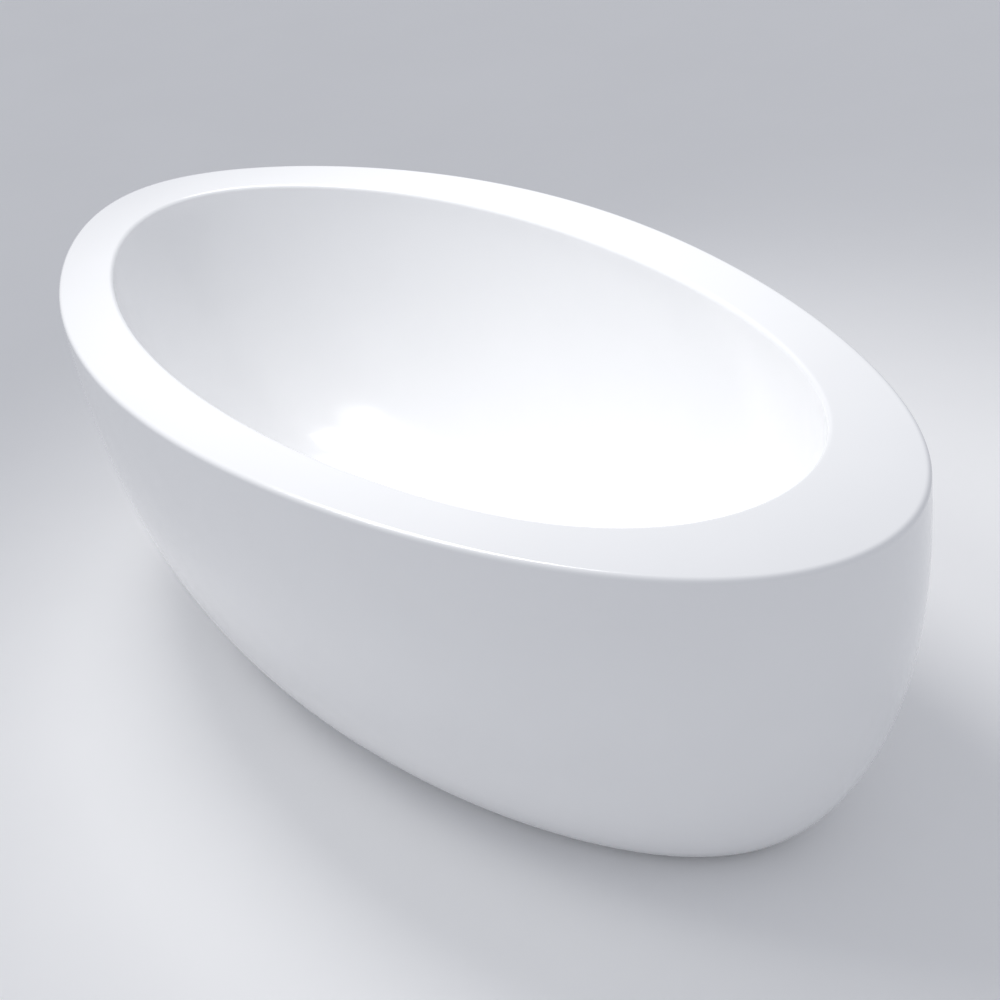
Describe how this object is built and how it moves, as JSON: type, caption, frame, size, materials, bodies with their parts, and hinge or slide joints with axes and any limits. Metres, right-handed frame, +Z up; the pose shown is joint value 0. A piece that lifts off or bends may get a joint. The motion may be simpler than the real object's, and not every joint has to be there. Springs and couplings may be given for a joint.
{
  "type": "freestanding bathtub",
  "caption": "Egg-shaped freestanding bathtub with a double-skin acrylic shell, wide flat rim, push stopper, side overflow and a levelling frame.",
  "frame": {"origin": "on the floor, below the middle of the rim's length and width", "axes": "+X along the tub towards the end with the wider deck, +Y across it away from the overflow, +Z up"},
  "size_m": [1.8, 0.8814, 0.605],
  "materials": {
    "acrylic": "glossy white acrylic",
    "plywood": "bare plywood sealed with resin",
    "frame_steel": "grey powder coat",
    "zinc_hardware": "zinc plated",
    "foot_plastic": "moulded nylon",
    "chrome": "polished chrome plate",
    "brass": "machined",
    "spring_steel": "stainless wire",
    "black_rubber": "matt black",
    "white_plastic": "smooth moulded polypropylene"
  },
  "bodies": {
    "tub": {"basin_shell": "acrylic", "outer_skirt": "acrylic", "rim_batten": "plywood", "skirt_ring": "plywood", "base_board": "plywood", "frame_rail_near": "frame_steel", "frame_rail_far": "frame_steel", "cross_member_1": "frame_steel", "cross_member_2": "frame_steel", "cross_member_3": "frame_steel", "cross_member_4": "frame_steel", "frame_leg_1": "frame_steel", "frame_leg_2": "frame_steel", "frame_leg_3": "frame_steel", "frame_leg_4": "frame_steel", "leg_inserts": "zinc_hardware", "lock_nuts": "zinc_hardware", "board_screws": "zinc_hardware", "skirt_brackets": "zinc_hardware", "bracket_screws": "zinc_hardware", "waste_flange": "chrome", "waste_seal": "black_rubber", "waste_gasket": "black_rubber", "waste_tee": "white_plastic", "stopper_cartridge": "brass", "stopper_spring": "spring_steel", "tailpiece": "white_plastic", "tailpiece_washer": "black_rubber", "tailpiece_nut": "white_plastic", "overflow_cover": "chrome", "overflow_screw": "chrome", "overflow_flange": "chrome", "overflow_seal": "black_rubber", "overflow_elbow": "white_plastic", "overflow_pipe": "white_plastic", "overflow_bend": "white_plastic", "overflow_run": "white_plastic", "elbow_nut": "white_plastic", "elbow_washer": "black_rubber", "tee_nut": "white_plastic", "tee_washer": "black_rubber"},
    "stopper": {"stopper_cap": "chrome", "stopper_seal": "black_rubber", "stopper_stem": "brass"},
    "foot_1": {"foot_pad_1": "foot_plastic"},
    "stud_1": {"foot_stud_1": "zinc_hardware"},
    "foot_2": {"foot_pad_2": "foot_plastic"},
    "stud_2": {"foot_stud_2": "zinc_hardware"},
    "foot_3": {"foot_pad_3": "foot_plastic"},
    "stud_3": {"foot_stud_3": "zinc_hardware"},
    "foot_4": {"foot_pad_4": "foot_plastic"},
    "stud_4": {"foot_stud_4": "zinc_hardware"}
  },
  "joints": [
    {"name": "stopper_slide", "type": "slide", "parent": "tub", "child": "stopper", "axis": [0, 0, -1], "range_m": [0, 0.0096], "stiffness_N_per_m": 400, "springref_m": -0.01, "deforming": ["stopper_spring"]},
    {"name": "foot_slide_1", "type": "slide", "parent": "tub", "child": "foot_1", "axis": [0, 0, 1], "range_m": [-0.015, 0.0035]},
    {"name": "stud_turn_1", "type": "hinge", "parent": "foot_1", "child": "stud_1", "pos_m": [-0.36, -0.155, 0.02], "axis": [0, 0, 1], "range_deg": [-3090, 725]},
    {"name": "foot_slide_2", "type": "slide", "parent": "tub", "child": "foot_2", "axis": [0, 0, 1], "range_m": [-0.015, 0.0035]},
    {"name": "stud_turn_2", "type": "hinge", "parent": "foot_2", "child": "stud_2", "pos_m": [-0.36, 0.155, 0.02], "axis": [0, 0, 1], "range_deg": [-3090, 725]},
    {"name": "foot_slide_3", "type": "slide", "parent": "tub", "child": "foot_3", "axis": [0, 0, 1], "range_m": [-0.015, 0.0035]},
    {"name": "stud_turn_3", "type": "hinge", "parent": "foot_3", "child": "stud_3", "pos_m": [0.36, -0.155, 0.02], "axis": [0, 0, 1], "range_deg": [-3090, 725]},
    {"name": "foot_slide_4", "type": "slide", "parent": "tub", "child": "foot_4", "axis": [0, 0, 1], "range_m": [-0.015, 0.0035]},
    {"name": "stud_turn_4", "type": "hinge", "parent": "foot_4", "child": "stud_4", "pos_m": [0.36, 0.155, 0.02], "axis": [0, 0, 1], "range_deg": [-3090, 725]}
  ],
  "couplings": [
    {"joint": "stud_turn_1", "follows": "foot_slide_1", "rad_per_m": 3590.4},
    {"joint": "stud_turn_2", "follows": "foot_slide_2", "rad_per_m": 3590.4},
    {"joint": "stud_turn_3", "follows": "foot_slide_3", "rad_per_m": 3590.4},
    {"joint": "stud_turn_4", "follows": "foot_slide_4", "rad_per_m": 3590.4}
  ]
}
